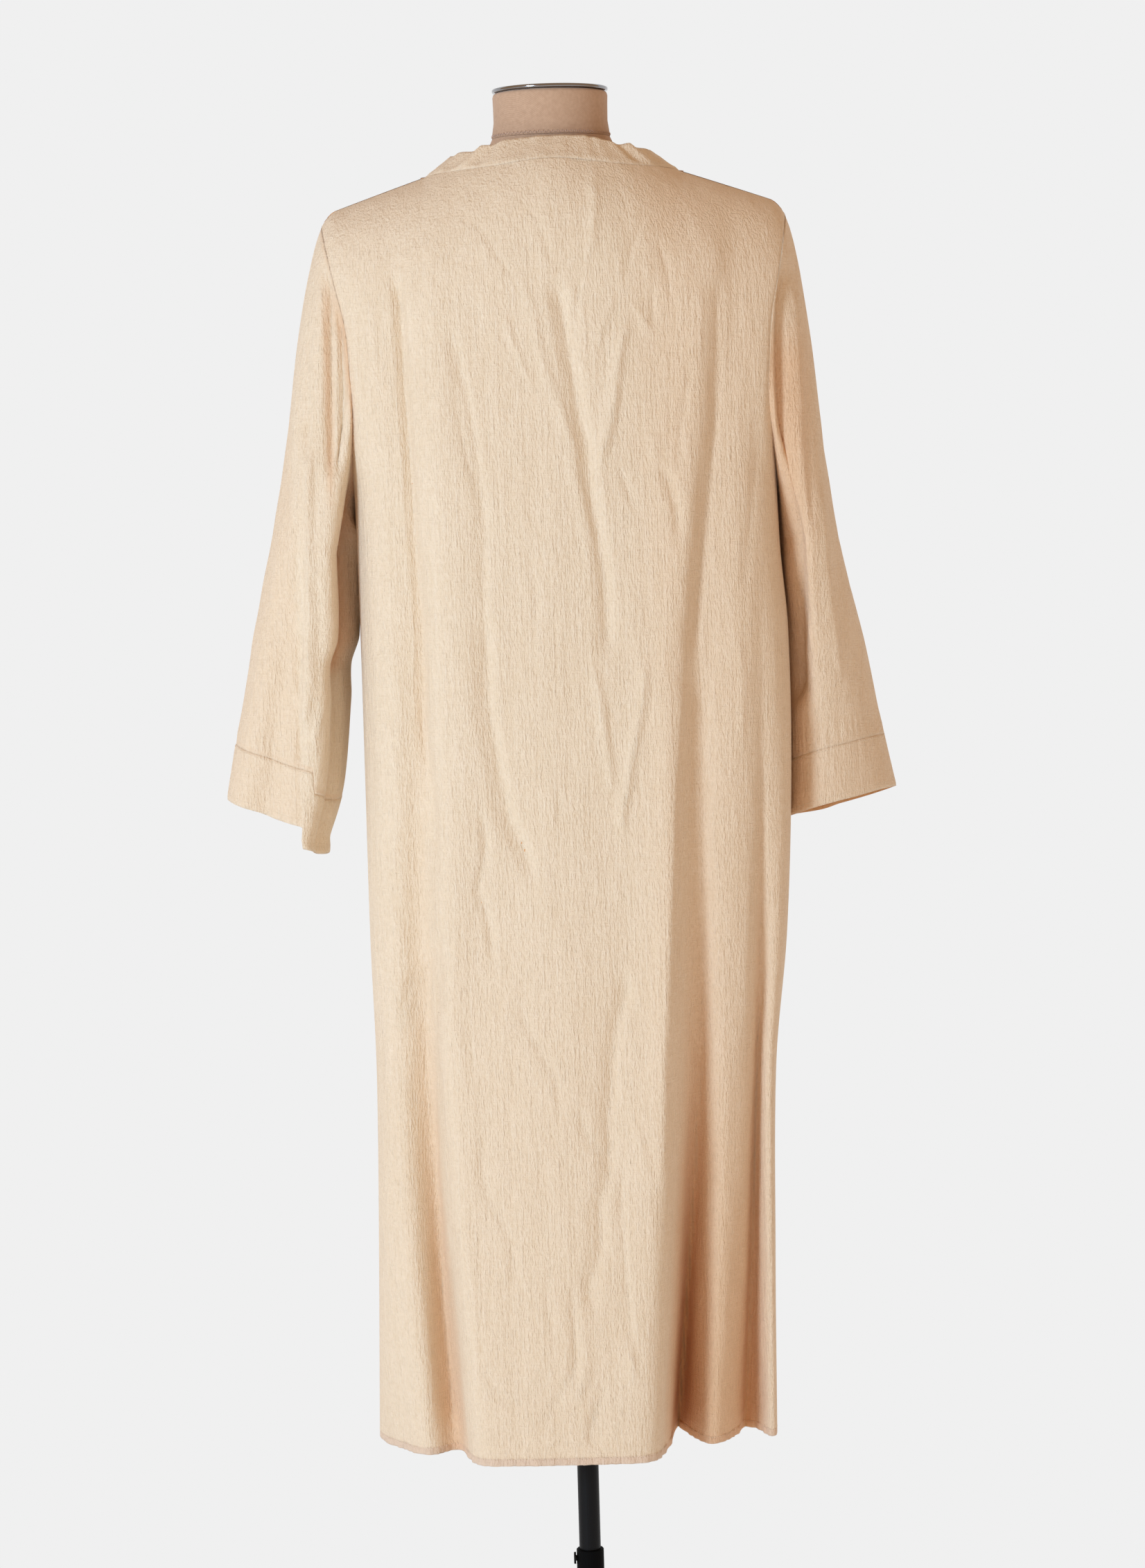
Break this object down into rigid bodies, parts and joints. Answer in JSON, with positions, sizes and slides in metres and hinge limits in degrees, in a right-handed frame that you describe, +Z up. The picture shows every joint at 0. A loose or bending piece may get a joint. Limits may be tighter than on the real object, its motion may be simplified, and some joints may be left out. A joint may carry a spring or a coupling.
{
  "type": "maxi dress on a dress form with pole stand",
  "caption": "Long loose cotton dress with straight sleeves, band cuffs and a band collar, worn by a limbless dress form on a height-adjustable pole stand.",
  "frame": {"origin": "middle of the base's underside, on the floor", "axes": "+Z up along the pole, the garment's back faces -Y and its front +Y, +X is the wearer's right side seen from behind"},
  "size_m": [0.6823, 0.35, 1.7858],
  "materials": {
    "cotton": "undyed sand crinkled cotton with a fine vertical crepe",
    "form_linen": "rose-beige twill stretched over the form",
    "dark_chrome": "dark polished chrome",
    "black_enamel": "semi-gloss black enamel on steel"
  },
  "bodies": {
    "stand": {"base_plate": "black_enamel", "outer_tube": "black_enamel"},
    "screw": {"clamp_screw": "black_enamel"},
    "pole": {"pole": "black_enamel"},
    "form": {"pole_socket": "black_enamel", "form_torso": "form_linen", "form_neck": "form_linen", "neck_cap": "dark_chrome", "back_panel": "cotton", "front_panel": "cotton", "sleeve_left": "cotton", "sleeve_right": "cotton", "cuff_left": "cotton", "cuff_right": "cotton", "collar_band": "cotton"}
  },
  "joints": [
    {"name": "screw_turn", "type": "hinge", "parent": "stand", "child": "screw", "pos_m": [-0.0147, 0, 0.29], "axis": [-1, 0, 0], "continuous": true},
    {"name": "height_slide", "type": "slide", "parent": "stand", "child": "pole", "axis": [0, 0, 1], "range_m": [-0.16, 0.05]},
    {"name": "form_swivel", "type": "hinge", "parent": "pole", "child": "form", "pos_m": [0, 0, 1.02], "axis": [0, 0, 1], "continuous": true}
  ]
}
